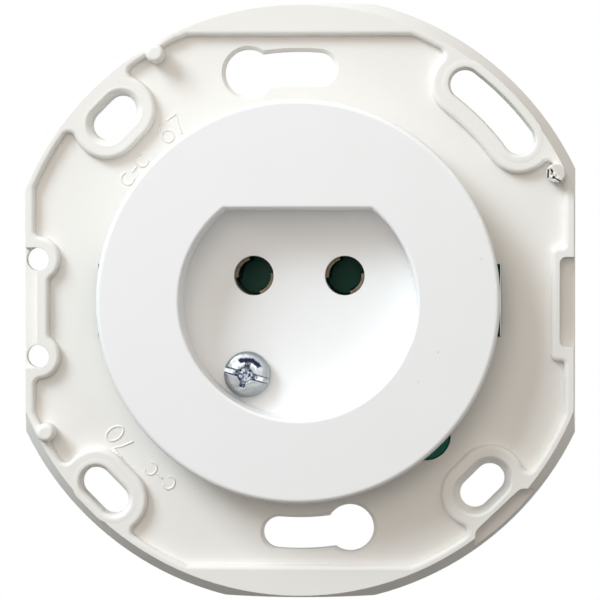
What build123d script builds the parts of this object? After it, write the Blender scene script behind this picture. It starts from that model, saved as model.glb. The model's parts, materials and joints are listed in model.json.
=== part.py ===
from build123d import *
from math import cos, degrees, hypot, radians, sin, tan
import os

# Ungrounded lamp outlet for a round wall box. All sizes are in millimetres.
# Each piece is drawn facing the viewer: x to the right, y up, z out of the wall, with the wall at z = 0.
# The finished piece is then stood upright, so that its front looks along -Y and +Z is up.

# Clearances
SLIP = 0.15  # between pieces that slide together
THREAD_GAP = 0.05  # between a screw and its thread
SKIRT_GAP = 0.2  # under the disc's skirt, so that the disc seats on the housing
OVERCUT = 1.0  # how far a cut runs past the face that it opens
SAME_LEVEL = 1e-4  # two levels closer than this are one
SMOOTH_ANGLE = 5.0  # two edges that turn less than this are one curve
CORNER_SHARE = 0.45  # of an edge, the most that a rounded corner takes

# Mounting plate
PLATE_W = 71.0  # between the side flats
PLATE_H = 76.3  # between the top and bottom flats
FLOOR_T = 2.2  # tray floor
RIM_RISE = 1.3  # rim above the tray floor
RIM_LEAN = 1.4  # how far the round edge leans inwards from the wall to the rim's top
ROUND_RIM = 1.0  # width of the rim along the round edge
SIDE_LEAN = 0.3  # how far the side flats lean inwards
SIDE_RIM = 1.5  # along the side flats, at the tray floor
END_RIM = 4.15  # along the top and bottom flats
TRAY_SOFT = 0.8  # rounding of the tray's corners, seen from the front
RIM_SOFT = 0.6  # rounding of the rim's and bosses' inner edges
SEAT_DEPTH = 0.5  # pocket in the plate's back that takes the housing

# Slots for box screws, with the raised bosses round them
BOSS_WALL = 2.5  # boss beyond the slot, all round
EDGE_WALL = 2.45  # plate beyond the outer slots
SLOT_W = 3.8
SLOT_LEAD = 0.75  # how far the slot flares on each side
SLOT_LEAD_DEPTH = 2.6
SLOT_SOFT = 0.3  # bevel round the flared mouth
NEAR_SCREWS = 67.0  # distance between the box screws
NEAR_SLOT_L = 6.5
NEAR_SLOT_ANGLES = (135.3, 314.7)
FAR_SCREWS = 70.0
FAR_SLOT_L = 6.9
FAR_SLOT_ANGLE = 224.4
LONG_SLOT_ARC = (36.25, 52.5)  # centres of the long slot's two ends

# Keyholes: the screw's head enters the round end, then the plate is turned
KEYHOLE_SCREWS = 60.0
KEYHOLE_W = 4.1
KEYHOLE_ARC = (85.1, 102.6)  # narrow end and round end of the upper keyhole
KEYHOLE_ENTRY_D = 6.1
KEYHOLE_LIP = 0.4

# Link features at the side edges, where plates stand side by side
LINK_DROP = 1.75  # left shelf and right pocket's floor below the rim's top
LINK_HOLE_D = 3.0
LINK_HOLE_INSET = 1.8  # from the left flat
LINK_HOLE_YS = (5.3, -7.2)
LINK_RING_D = 5.9
LINK_RIB_W = 1.5
LINK_SHELF_END = 1.5  # shelf beyond the hole's centre at each end
LINK_POCKET_W = 2.1
LINK_POCKET_TOP = 5.6
LINK_POCKET_BOTTOM = -5.9
LINK_POCKET_SOFT = 0.8
LINK_FRAME_W = 1.1
LINK_FRAME_TOP = 1.3
LINK_FRAME_BOTTOM = 1.9

# Moulded stubs on the rim, and the notch where the plate is pried loose
STUB_INSET = 0.3  # stub's centre inside the tray's edge
STUB_D = 2.4
STUB_RISE = 1.8
STUB_ANGLES = (120.2, 207.5)
TORN_STUB_ANGLE = 26.4
TORN_STUB_RISE = 1.1
TORN_STUB_TILT = 24.0
NOTCH_DEPTH = 2.35
NOTCH_W = 12.6  # at the plate's round edge
NOTCH_ANGLE = -46.4
NOTCH_DROP = 2.3
NOTCH_SOFT = 1.3

# Cover disc with its D-shaped socket recess
DISC_D = 51.4
DISC_T = 2.2
DISC_SOFT = 0.6
FACE_RISE = 6.5  # disc's face above the tray floor
RECESS_D = 30.2
RECESS_FLAT = 11.8  # flat side above the centre
RECESS_CORNER = 0.6  # where the flat side meets the round one
RECESS_DEPTH = 6.4
RECESS_DRAFT = 1.8
RECESS_SOFT = 0.4
BOWL_WALL = 1.6
BOWL_FLOOR = 2.0
SKIRT_CLEAR = 0.5  # between the skirt and the latch noses
SKIRT_T = 1.4
DISC_RIBS = 8
DISC_RIB_T = 1.2
DISC_RIB_H = 2.0

# Plug pins and their contacts
PIN_PITCH = 11.7
PIN_RISE = 3.2  # pins above the centre
PIN_HOLE_D = 5.1
PIN_ROOM = 9.9  # depth for a plug's pin below the recess floor
SLEEVE_D = 4.2  # inside of the contact sleeve
SLEEVE_T = 0.5
SLEEVE_L = 9.6
SLEEVE_SETBACK = 0.3  # sleeve's front edge behind the disc's floor
EYELET_D = 6.8  # flat ring at the sleeve's root
LEAF_SPAN = 80.0  # of each of the sleeve's two leaves
LEAF_ANGLE = 147.0  # middle of the upper left leaf
RING_T = 0.45  # spring ring round the sleeve
RING_W = 1.5
RING_SETBACK = 3.0  # behind the sleeve's front edge
RING_OPENING = 50.0
CONTACT_T = 0.7  # contact strip
STRIP_W = 5.0

# Terminals, two for each pole: a cage round the contact's tab, and a screw from the side
TERMINAL_PITCH = 20.0
TAB_X = 17.2  # inner face of the tab
TAB_W = 5.0
CROSSBAR_W = 3.7
WIRE_GAP = 3.5
CAGE_L = 5.5
CAGE_WALL = 0.9
CAGE_PAD = 1.5  # tapped wall
CAGE_LIFT = 0.3  # cage above the crossbar
TERMINAL_SCREW_D = 3.0
TERMINAL_SCREW_OPEN = 2.5  # wire space that the screw's tip leaves
TERMINAL_HEAD_D = 5.2
TERMINAL_HEAD_H = 1.7
WIRE_HOLE_D = 3.4
WIRE_FUNNEL = 0.6

# Housing behind the plate
SIDE_WALL = 3.05
PEG_X = 16.3
PEG_Y = -17.4
PEG_D = 6.0
PEG_DROP = 0.2  # peg's end below the tray floor
PEG_MARGIN = 0.6  # housing beyond the peg
HOUSING_CORNER = 9.0
WIRE_SPACE = 5.3  # behind the contacts
COVER_T = 2.0
COVER_EDGE = 0.8
LATCH_W = 8.6
LATCH_T = 1.4
LATCH_INSET = 0.6  # arm's outer face behind the housing's side
LATCH_NOSE = 1.2
LATCH_LENGTH = 10.5  # free part of the arm below the housing's front
LATCH_RELIEF = 1.2
LATCH_SLIT = 0.6
WINDOW_GAP = 0.4

# Screws and nut
COVER_SCREW_ANGLE = 234.75
COVER_HEAD_CLEAR = 0.35  # between the head and the recess wall
COVER_SCREW_D = 3.0
COVER_SCREW_L = 12.0
COVER_HEAD_D = 5.9
COVER_HEAD_H = 1.9
HEAD_SOFT = 0.6
DRIVE_SLOT_W = 0.7
DRIVE_SLOT_DEPTH = 0.8
DRIVE_CROSS_L = 3.0
DRIVE_CROSS_DEPTH = 1.3
DRIVE_TURN = -11.8
NUT_W = 5.5
NUT_T = 2.4
NUT_DEPTH = 7.7  # nut's front behind the recess floor
REAR_SCREW_D = 2.6
REAR_SCREW_L = 9.0
REAR_HEAD_D = 5.0
REAR_HEAD_H = 1.5
REAR_SCREW_INSET = 4.5  # from the housing's upper and lower edge
REAR_SINK = 0.7

# Levels along z, worked out from the sizes above
RIM_Z = FLOOR_T + RIM_RISE
LINK_Z = RIM_Z - LINK_DROP
FACE_Z = FLOOR_T + FACE_RISE
RECESS_Z = FACE_Z - RECESS_DEPTH
BOWL_Z = RECESS_Z - BOWL_FLOOR
SLEEVE_Z = BOWL_Z - SLEEVE_SETBACK
STRIP_Z = SLEEVE_Z - SLEEVE_L
CAGE_Z = STRIP_Z + CONTACT_T + CAGE_LIFT
TAB_L = CONTACT_T + CAGE_LIFT + CAGE_L + SLIP
HOUSING_Z = STRIP_Z - WIRE_SPACE
NUT_Z = RECESS_Z - NUT_DEPTH
PIN_STOP_Z = RECESS_Z - PIN_ROOM

# Places across the plate, worked out from the sizes above
NEAR_SLOT_R = NEAR_SCREWS / 2
FAR_SLOT_R = FAR_SCREWS / 2
KEYHOLE_R = KEYHOLE_SCREWS / 2
PLATE_R = FAR_SLOT_R + SLOT_W / 2 + EDGE_WALL
RIM_R = PLATE_R - RIM_LEAN
RIM_W = PLATE_W - 2 * SIDE_LEAN
TRAY_R = RIM_R - ROUND_RIM
TRAY_W = PLATE_W - 2 * SIDE_RIM
TRAY_H = PLATE_H - 2 * END_RIM
STUB_R = TRAY_R - STUB_INSET
NOTCH_R = PLATE_R - NOTCH_DEPTH
LINK_HOLE_X = LINK_HOLE_INSET - PLATE_W / 2
LINK_POCKET_X = PLATE_W / 2 - LINK_POCKET_W
PIN_X = PIN_PITCH / 2
SLEEVE_R = SLEEVE_D / 2 + SLEEVE_T
TERMINAL_YS = (TERMINAL_PITCH / 2, -TERMINAL_PITCH / 2)
TAB_FACE_X = TAB_X + CONTACT_T
CAGE_IN = (TAB_X - SLIP, TAB_FACE_X + WIRE_GAP)
CAGE_OUT = (CAGE_IN[0] - CAGE_WALL, CAGE_IN[1] + CAGE_PAD)
CAGE_OPEN_W = TAB_W + 2 * SLIP
CAGE_W = CAGE_OPEN_W + 2 * CAGE_WALL
HOUSING_W = 2 * (CAGE_OUT[1] + SLIP + SIDE_WALL)
HOUSING_H = 2 * (abs(PEG_Y) + PEG_D / 2 + PEG_MARGIN)
LATCH_X = HOUSING_W / 2 - LATCH_INSET - LATCH_T
REAR_SCREW_Y = HOUSING_H / 2 - REAR_SCREW_INSET
SKIRT_R = LATCH_X - LATCH_NOSE - SKIRT_CLEAR
BOWL_R = RECESS_D / 2 + BOWL_WALL
RECESS_FLOOR_R = RECESS_D / 2 - RECESS_DEPTH * tan(radians(RECESS_DRAFT))
COVER_SCREW_R = RECESS_FLOOR_R - COVER_HEAD_D / 2 - COVER_HEAD_CLEAR
COVER_SCREW_X = COVER_SCREW_R * cos(radians(COVER_SCREW_ANGLE))
COVER_SCREW_Y = COVER_SCREW_R * sin(radians(COVER_SCREW_ANGLE))

STAND_UP = Rot(X=90)
SIDES = {"left": -1, "right": 1}
BASE = (Align.CENTER, Align.CENTER, Align.MIN)


def block(x_range, y_range, z_range):
    """A box between two corners."""
    spans = (x_range, y_range, z_range)
    size = [max(span) - min(span) for span in spans]
    middle = [(max(span) + min(span)) / 2 for span in spans]
    return Pos(*middle) * Box(*size)


def rod(diameter, z_range, x=0.0, y=0.0):
    """A round bar along z."""
    return Pos(x, y, min(z_range)) * Cylinder(diameter / 2, max(z_range) - min(z_range), align=BASE)


def raised(outline, z_range):
    """A flat outline made a solid between two levels."""
    return extrude(Pos(0, 0, min(z_range)) * outline, max(z_range) - min(z_range))


def polar(radius, angle, shape):
    """A shape set at a radius and an angle, with its own y along the tangent."""
    return Rot(Z=angle) * Pos(radius) * shape


def arc_slot(radius, ends, width):
    """The outline of a slot along an arc, between two end angles."""
    start, stop = min(ends), max(ends)
    return SlotArc(CenterArc((0, 0), radius, start, stop - start), width)


def d_outline(radius, flat):
    """A circle cut off by a level line above its centre."""
    return Circle(radius) & Pos(0, flat - 1.5 * radius) * Rectangle(2 * radius, 3 * radius)


def slot_outlines(growth):
    """The four box-screw slots, each grown by the same amount all round."""
    near = SlotOverall(NEAR_SLOT_L + 2 * growth, SLOT_W + 2 * growth, rotation=90)
    far = SlotOverall(FAR_SLOT_L + 2 * growth, SLOT_W + 2 * growth, rotation=90)
    slots = [polar(NEAR_SLOT_R, angle, near) for angle in NEAR_SLOT_ANGLES]
    slots.append(polar(FAR_SLOT_R, FAR_SLOT_ANGLE, far))
    slots.append(arc_slot(FAR_SLOT_R, LONG_SLOT_ARC, SLOT_W + 2 * growth))
    return slots


def lead_in(outline_at, z_range, growths):
    """The flared mouths of slots, from one growth at the lower level to another at the upper one."""
    return [
        loft([Pos(0, 0, min(z_range)) * small, Pos(0, 0, max(z_range)) * large], ruled=True)
        for small, large in zip(outline_at(min(growths)), outline_at(max(growths)))
    ]


def keyhole_outlines(growth):
    """The upper keyhole's arc slot and round entry hole, each grown by the same amount all round."""
    entry = polar(KEYHOLE_R, max(KEYHOLE_ARC), Circle(KEYHOLE_ENTRY_D / 2 + growth))
    return [arc_slot(KEYHOLE_R, KEYHOLE_ARC, KEYHOLE_W + 2 * growth), entry]


def housing_outline(growth=0.0):
    """The housing's rounded rectangle, grown by the same amount all round."""
    return RectangleRounded(HOUSING_W + 2 * growth, HOUSING_H + 2 * growth, HOUSING_CORNER + growth)


def link_frame():
    """The raised parts on the tray's two side edges."""
    top, bottom = LINK_HOLE_YS
    rings = [Pos(LINK_HOLE_X, y) * Circle(LINK_RING_D / 2) for y in LINK_HOLE_YS]
    rib_right = LINK_HOLE_X + LINK_RIB_W
    rib = Pos((rib_right - PLATE_W / 2) / 2, (top + bottom) / 2) * Rectangle(
        rib_right + PLATE_W / 2, top - bottom
    )
    frame_left = LINK_POCKET_X - LINK_FRAME_W
    frame_top = LINK_POCKET_TOP + LINK_FRAME_TOP
    frame_bottom = LINK_POCKET_BOTTOM - LINK_FRAME_BOTTOM
    frame_w = PLATE_W - 2 * frame_left
    frame = Pos(frame_left + frame_w / 2, (frame_top + frame_bottom) / 2) * RectangleRounded(
        frame_w, frame_top - frame_bottom, LINK_POCKET_SOFT
    )
    return [*rings, rib, frame]


def plate_blank():
    """The plate's outside: a leaning round edge cut by two leaning side flats and two upright end flats."""
    edge = Cone(PLATE_R, RIM_R, RIM_Z, align=BASE)
    flats = loft([Rectangle(PLATE_W, PLATE_H), Pos(0, 0, RIM_Z) * Rectangle(RIM_W, PLATE_H)], ruled=True)
    return edge & flats


def is_inner_edge(edge):
    """True for the edges of the rim's top that face the tray."""
    if abs(edge.bounding_box().min.Z - RIM_Z) > SAME_LEVEL:
        return False
    middle = edge.position_at(0.5)
    return (
        abs(middle.X) < RIM_W / 2 - SAME_LEVEL
        and abs(middle.Y) < PLATE_H / 2 - SAME_LEVEL
        and hypot(middle.X, middle.Y) < RIM_R - SAME_LEVEL
    )


def leaving(edge, corner):
    """The direction in which an edge leaves the corner at one of its ends."""
    at_start = (edge.position_at(0) - corner).length < (edge.position_at(1) - corner).length
    return edge.tangent_at(0) if at_start else -edge.tangent_at(1)


def soft_corners(outline, radius):
    """An outline with its sharp corners rounded, each no more than its two edges leave room for."""
    corners = {}
    for vertex in outline.vertices():
        corner = Vector(*vertex)
        beside = [edge for edge in outline.edges() if edge.distance_to(vertex) < SAME_LEVEL]
        opening = leaving(beside[0], corner).get_angle(leaving(beside[1], corner))
        if opening < 180 - SMOOTH_ANGLE:
            corners[tuple(corner)] = (min(edge.length for edge in beside), opening)
    for place, (room, opening) in corners.items():
        corner = min(outline.vertices(), key=lambda vertex: (Vector(*vertex) - Vector(*place)).length)
        fitting = CORNER_SHARE * room * tan(radians(opening / 2))
        outline = fillet(corner, min(radius, fitting))
    return outline


def tray_cut():
    """The space that the tray leaves below the rim, round the bosses, rings and ribs."""
    outline = Circle(TRAY_R) & Rectangle(TRAY_W, TRAY_H)
    for standing in slot_outlines(BOSS_WALL) + link_frame():
        outline -= standing
    return raised(soft_corners(outline, TRAY_SOFT), (FLOOR_T, RIM_Z))


def notch_outline():
    """The pry notch: a straight inner side, and two ends that open outwards at 45 degrees."""
    inner, outer = NOTCH_W / 2 - NOTCH_DEPTH, NOTCH_W / 2 + NOTCH_DEPTH
    beyond = 2 * NOTCH_DEPTH
    outline = Polygon((0, -inner), (beyond, -outer), (beyond, outer), (0, inner), align=None)
    return polar(NOTCH_R, NOTCH_ANGLE, fillet(outline.vertices().group_by(Axis.X)[0], NOTCH_SOFT))


def torn_stub():
    """The stub that was torn off, with its slanting rough top."""
    stub = rod(STUB_D, (FLOOR_T, RIM_Z + TORN_STUB_RISE))
    cut = Rot(X=TORN_STUB_TILT, Y=-TORN_STUB_TILT) * Box(2 * STUB_D, 2 * STUB_D, STUB_D, align=BASE)
    return polar(STUB_R, TORN_STUB_ANGLE, stub - Pos(0, 0, RIM_Z + TORN_STUB_RISE / 2) * cut)


def make_mounting_plate():
    """The moulded plate that is screwed over the wall box."""
    plate = plate_blank() - tray_cut()
    plate = fillet(plate.edges().filter_by(is_inner_edge), RIM_SOFT)

    through = (-RIM_Z, 2 * RIM_Z)
    for slot in slot_outlines(0.0):
        plate -= raised(slot, through)
    flare_top = RIM_Z - SLOT_SOFT
    plate -= lead_in(slot_outlines, (RIM_Z - SLOT_LEAD_DEPTH, flare_top), (0.0, SLOT_LEAD))
    plate -= lead_in(slot_outlines, (flare_top, RIM_Z), (SLOT_LEAD, SLOT_LEAD + SLOT_SOFT))
    keyhole = [raised(outline, through) for outline in keyhole_outlines(0.0)]
    lip = lead_in(keyhole_outlines, (FLOOR_T - KEYHOLE_LIP, FLOOR_T), (0.0, KEYHOLE_LIP))
    for cut in keyhole + lip:
        plate = plate - cut - Rot(Z=180) * cut

    shelf_y = (max(LINK_HOLE_YS) + LINK_SHELF_END, min(LINK_HOLE_YS) - LINK_SHELF_END)
    plate -= block((-PLATE_W, LINK_HOLE_X), shelf_y, (LINK_Z, 2 * RIM_Z))
    for y in LINK_HOLE_YS:
        plate -= rod(LINK_HOLE_D, through, LINK_HOLE_X, y)
    pocket = RectangleRounded(2 * LINK_POCKET_W, LINK_POCKET_TOP - LINK_POCKET_BOTTOM, LINK_POCKET_SOFT)
    pocket = Pos(PLATE_W / 2, (LINK_POCKET_TOP + LINK_POCKET_BOTTOM) / 2) * pocket
    plate -= raised(pocket, (LINK_Z, 2 * RIM_Z))

    plate -= raised(notch_outline(), (RIM_Z - NOTCH_DROP, 2 * RIM_Z))
    for angle in STUB_ANGLES:
        stub = rod(STUB_D, (FLOOR_T, RIM_Z + STUB_RISE))
        stub = fillet(stub.edges().group_by(Axis.Z)[-1], STUB_D / 4)
        plate += polar(STUB_R, angle, stub)
    plate += torn_stub()

    plate -= rod(2 * (BOWL_R + SLIP), through)
    plate -= raised(housing_outline(SLIP), (-RIM_Z, SEAT_DEPTH))
    plate -= rod(PEG_D + 2 * SLIP, through, PEG_X, PEG_Y)
    window_y = LATCH_W / 2 + WINDOW_GAP
    window_x = (LATCH_X - SLIP, LATCH_X + LATCH_T + WINDOW_GAP)
    for side in SIDES.values():
        x_range = [side * x for x in window_x]
        plate -= block(x_range, (-window_y, window_y), through)
    return plate


def is_recess_edge(edge):
    """True for the edges of the socket recess in the disc's face."""
    middle = edge.position_at(0.5)
    on_face = abs(edge.bounding_box().min.Z - FACE_Z) < SAME_LEVEL
    return on_face and hypot(middle.X, middle.Y) < RECESS_D / 2 + SAME_LEVEL


def make_cover_disc():
    """The white centre disc: an overhanging face, a D-shaped bowl, a skirt and ribs behind the face."""
    under = FACE_Z - DISC_T
    disc = rod(DISC_D, (under, FACE_Z))
    disc = fillet(disc.edges().group_by(Axis.Z)[-1], DISC_SOFT)
    bowl = raised(d_outline(BOWL_R, RECESS_FLAT + BOWL_WALL), (BOWL_Z, under))
    skirt_z = (FLOOR_T + SKIRT_GAP, under)
    skirt = rod(2 * SKIRT_R, skirt_z) - rod(2 * (SKIRT_R - SKIRT_T), skirt_z)
    rib_x = (RECESS_FLAT, SKIRT_R - SKIRT_T / 2)
    rib = block(rib_x, (-DISC_RIB_T / 2, DISC_RIB_T / 2), (under - DISC_RIB_H, under))
    ribs = [Rot(Z=(turn + 0.5) * 360 / DISC_RIBS) * rib for turn in range(DISC_RIBS)]
    disc = disc + bowl + skirt + ribs

    mouth = soft_corners(d_outline(RECESS_D / 2, RECESS_FLAT), RECESS_CORNER)
    disc -= extrude(Pos(0, 0, FACE_Z) * mouth, RECESS_DEPTH, dir=(0, 0, -1), taper=RECESS_DRAFT)
    disc = fillet(disc.edges().filter_by(is_recess_edge), RECESS_SOFT)
    through = (BOWL_Z - BOWL_FLOOR, RECESS_Z + BOWL_FLOOR)
    for side in SIDES.values():
        disc -= rod(PIN_HOLE_D, through, side * PIN_X, PIN_RISE)
    disc -= rod(COVER_SCREW_D + 2 * SLIP, through, COVER_SCREW_X, COVER_SCREW_Y)
    return disc


def pan_screw(diameter, length, head_d, head_h, cross_l):
    """A pan-head screw along z with a slot, or a slot and a cross, and its head's seat at z = 0."""
    head = rod(head_d, (0, head_h))
    head = fillet(head.edges().group_by(Axis.Z)[-1], HEAD_SOFT)
    across = (-DRIVE_SLOT_W / 2, DRIVE_SLOT_W / 2)
    head -= block((-head_d, head_d), across, (head_h - DRIVE_SLOT_DEPTH, 2 * head_h))
    if cross_l:
        arm = block((-cross_l / 2, cross_l / 2), across, (head_h - DRIVE_CROSS_DEPTH, 2 * head_h))
        head = head - arm - Rot(Z=90) * arm
    return head + rod(diameter, (-length, 0))


def make_cover_screw():
    """The screw in the recess, with its slot turned a little from level."""
    screw = pan_screw(COVER_SCREW_D, COVER_SCREW_L, COVER_HEAD_D, COVER_HEAD_H, DRIVE_CROSS_L)
    return Pos(COVER_SCREW_X, COVER_SCREW_Y, RECESS_Z) * Rot(Z=DRIVE_TURN) * screw


def make_cover_nut():
    """The captive square nut behind the recess."""
    nut = block((-NUT_W / 2, NUT_W / 2), (-NUT_W / 2, NUT_W / 2), (NUT_Z - NUT_T, NUT_Z))
    nut -= rod(COVER_SCREW_D + 2 * THREAD_GAP, (NUT_Z - 2 * NUT_T, NUT_Z + NUT_T))
    return Pos(COVER_SCREW_X, COVER_SCREW_Y) * nut


def sector(radius, start, span):
    """A pie-shaped outline round the origin."""
    arc = CenterArc((0, 0), radius, start, span)
    return make_face([Line((0, 0), arc @ 0), arc, Line(arc @ 1, (0, 0))])


def leaf_gaps(radius, clearance):
    """The two spaces between a sleeve's leaves, narrowed by a clearance at each leaf."""
    span = 180 - LEAF_SPAN - 2 * degrees(2 * clearance / SLEEVE_D)
    return [sector(radius, middle - span / 2, span) for middle in (LEAF_ANGLE - 90, LEAF_ANGLE + 90)]


def make_contact(side):
    """A contact: two sleeve leaves on a flat ring, a strip to the side, a crossbar and two upright tabs."""
    strip_z = (STRIP_Z, STRIP_Z + CONTACT_T)
    strip_x = (0, side * (TAB_FACE_X - PIN_X))
    contact = rod(2 * SLEEVE_R, (STRIP_Z, SLEEVE_Z)) + rod(EYELET_D, strip_z)
    contact += block(strip_x, (-STRIP_W / 2, STRIP_W / 2), strip_z)
    contact -= rod(SLEEVE_D, (STRIP_Z - OVERCUT, FACE_Z))
    for gap in leaf_gaps(EYELET_D, 0.0):
        contact -= raised(gap, (max(strip_z), FACE_Z))
    for gap in leaf_gaps(SLEEVE_R, 0.0):
        contact -= raised(gap, (STRIP_Z - OVERCUT, max(strip_z)))
    contact = Pos(side * PIN_X, PIN_RISE) * contact

    bar_x = (side * (TAB_FACE_X - CROSSBAR_W), side * TAB_FACE_X)
    bar_y = (TERMINAL_PITCH + TAB_W) / 2
    contact += block(bar_x, (-bar_y, bar_y), strip_z)
    for y in TERMINAL_YS:
        tab_y = (y - TAB_W / 2, y + TAB_W / 2)
        contact += block((side * TAB_X, side * TAB_FACE_X), tab_y, (STRIP_Z, STRIP_Z + TAB_L))
    return contact


def make_contact_ring(side):
    """The open spring ring that presses the sleeve's two leaves together."""
    inside = SLEEVE_R + THREAD_GAP
    ring_z = (SLEEVE_Z - RING_SETBACK - RING_W, SLEEVE_Z - RING_SETBACK)
    outline = Circle(inside + RING_T) - Circle(inside)
    outline -= sector(2 * inside, LEAF_ANGLE - 90 - RING_OPENING / 2, RING_OPENING)
    return Pos(side * PIN_X, PIN_RISE) * raised(outline, ring_z)


def make_clamp(side, y):
    """A terminal cage: a short square tube with one thick, tapped wall."""
    cage_z = (CAGE_Z, CAGE_Z + CAGE_L)
    cage = block([side * x for x in CAGE_OUT], (-CAGE_W / 2, CAGE_W / 2), cage_z)
    open_y = (-CAGE_OPEN_W / 2, CAGE_OPEN_W / 2)
    cage -= block([side * x for x in CAGE_IN], open_y, (CAGE_Z - OVERCUT, FACE_Z))
    tapped = Pos(side * CAGE_OUT[1], 0, CAGE_Z + CAGE_L / 2) * Rot(Y=90) * Cylinder(
        TERMINAL_SCREW_D / 2 + THREAD_GAP, 2 * CAGE_PAD + WIRE_GAP / 2
    )
    return Pos(0, y) * (cage - tapped)


def make_terminal_screw(side, y):
    """A terminal screw, entering its cage from the housing's side."""
    seat = CAGE_OUT[1] + 2 * SLIP
    length = seat - TAB_FACE_X - TERMINAL_SCREW_OPEN
    screw = pan_screw(TERMINAL_SCREW_D, length, TERMINAL_HEAD_D, TERMINAL_HEAD_H, 0)
    return Pos(side * seat, y, CAGE_Z + CAGE_L / 2) * Rot(Y=side * 90) * screw


def contact_pockets(side):
    """The space inside the housing for one contact, its cages and its screws, open at the back."""
    back = HOUSING_Z - OVERCUT
    pin = (side * PIN_X, PIN_RISE)
    pockets = rod(2 * (SLEEVE_R + SLIP), (back, FACE_Z), *pin)
    pockets += rod(2 * (SLEEVE_R + THREAD_GAP + RING_T + SLIP), (back, SLEEVE_Z - RING_SETBACK + SLIP), *pin)
    strip_y = (PIN_RISE - STRIP_W / 2 - SLIP, PIN_RISE + STRIP_W / 2 + SLIP)
    strip_z = (back, STRIP_Z + CONTACT_T)
    pockets += rod(EYELET_D + 2 * SLIP, strip_z, *pin)
    pockets += block((side * PIN_X, side * TAB_FACE_X), strip_y, strip_z)
    bar_x = (side * (TAB_FACE_X - CROSSBAR_W - SLIP), side * (TAB_FACE_X + SLIP))
    bar_y = (TERMINAL_PITCH + TAB_W) / 2 + SLIP
    pockets += block(bar_x, (-bar_y, bar_y), strip_z)
    cage_x = (side * (CAGE_OUT[0] - SLIP), side * (CAGE_OUT[1] + SLIP))
    for y in TERMINAL_YS:
        cage_y = (y - CAGE_W / 2 - SLIP, y + CAGE_W / 2 + SLIP)
        pockets += block(cage_x, cage_y, (back, STRIP_Z + TAB_L + SLIP))
        driver = Cylinder(TERMINAL_HEAD_D / 2 + SLIP, 2 * (SIDE_WALL + OVERCUT))
        pockets += Pos(side * HOUSING_W / 2, y, CAGE_Z + CAGE_L / 2) * Rot(Y=90) * driver
    return pockets


def latch_arm(side):
    """A snap arm that goes through the plate's window and hooks over the tray floor."""
    nose_z = FLOOR_T + SLIP
    top = nose_z + LATCH_NOSE
    root = SEAT_DEPTH - LATCH_LENGTH
    inner, outer = LATCH_X, LATCH_X + LATCH_T
    profile = Polyline(
        (inner, root),
        (outer, root),
        (outer, top),
        (inner, top),
        (inner - LATCH_NOSE, nose_z),
        (inner, nose_z),
        (inner, root),
    )
    arm = extrude(Plane.XZ * make_face(profile), LATCH_W / 2, both=True)
    return arm if side > 0 else mirror(arm, Plane.YZ)


def make_contact_housing():
    """The dark green housing behind the plate."""
    housing = raised(housing_outline(), (HOUSING_Z, SEAT_DEPTH))
    housing -= rod(2 * (BOWL_R + SLIP), (BOWL_Z, FACE_Z))
    relief_x = (LATCH_X - LATCH_RELIEF, HOUSING_W)
    relief_y = LATCH_W / 2 + LATCH_SLIT
    for side in SIDES.values():
        housing -= contact_pockets(side)
        relief_z = (SEAT_DEPTH - LATCH_LENGTH, FACE_Z)
        housing -= block([side * x for x in relief_x], (-relief_y, relief_y), relief_z)
        housing += latch_arm(side)
    housing += rod(PEG_D, (0, FLOOR_T - PEG_DROP), PEG_X, PEG_Y)

    back = HOUSING_Z - OVERCUT
    screw_axis = (COVER_SCREW_X, COVER_SCREW_Y)
    housing -= rod(COVER_SCREW_D + 2 * SLIP, (back, FACE_Z), *screw_axis)
    half_nut = NUT_W / 2 + SLIP
    housing -= Pos(*screw_axis) * block((-half_nut, half_nut), (-half_nut, half_nut), (back, NUT_Z))
    for y in (REAR_SCREW_Y, -REAR_SCREW_Y):
        housing -= rod(REAR_SCREW_D + 2 * THREAD_GAP, (back, HOUSING_Z + REAR_SCREW_L), 0, y)
    return housing


def contact_post(side):
    """A post that backs up a contact and ends between its leaves, where a plug's pin stops."""
    tip = Circle(SLEEVE_D / 2 - SLIP) + leaf_gaps(SLEEVE_R - SLIP, SLIP)
    post = rod(EYELET_D, (HOUSING_Z, STRIP_Z)) + raised(tip, (HOUSING_Z, PIN_STOP_Z))
    return Pos(side * PIN_X, PIN_RISE) * post


def make_rear_cover():
    """The back of the housing: wire entries, screw seats and two posts behind the contacts."""
    cover_z = (HOUSING_Z - COVER_T, HOUSING_Z)
    through = (min(cover_z) - OVERCUT, max(cover_z) + OVERCUT)
    cover = raised(housing_outline(), cover_z)
    cover = chamfer(cover.edges().group_by(Axis.Z)[0], COVER_EDGE)
    wire_x = TAB_FACE_X + WIRE_HOLE_D / 2
    funnel = Cone(WIRE_HOLE_D / 2 + WIRE_FUNNEL, WIRE_HOLE_D / 2, WIRE_FUNNEL, align=BASE)
    for side in SIDES.values():
        cover += contact_post(side)
        for y in TERMINAL_YS:
            cover -= rod(WIRE_HOLE_D, through, side * wire_x, y)
            cover -= Pos(side * wire_x, y, min(cover_z)) * funnel
    for y in (REAR_SCREW_Y, -REAR_SCREW_Y):
        cover -= rod(REAR_SCREW_D + 2 * SLIP, through, 0, y)
        sink_z = (min(through), min(cover_z) + REAR_SINK)
        cover -= rod(REAR_HEAD_D + 2 * SLIP, sink_z, 0, y)
    return cover


def make_rear_screw(y):
    """A screw that holds the rear cover to the housing."""
    screw = pan_screw(REAR_SCREW_D, REAR_SCREW_L, REAR_HEAD_D, REAR_HEAD_H, DRIVE_CROSS_L)
    return Pos(0, y, HOUSING_Z - COVER_T + REAR_SINK) * Rot(X=180) * screw


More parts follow.
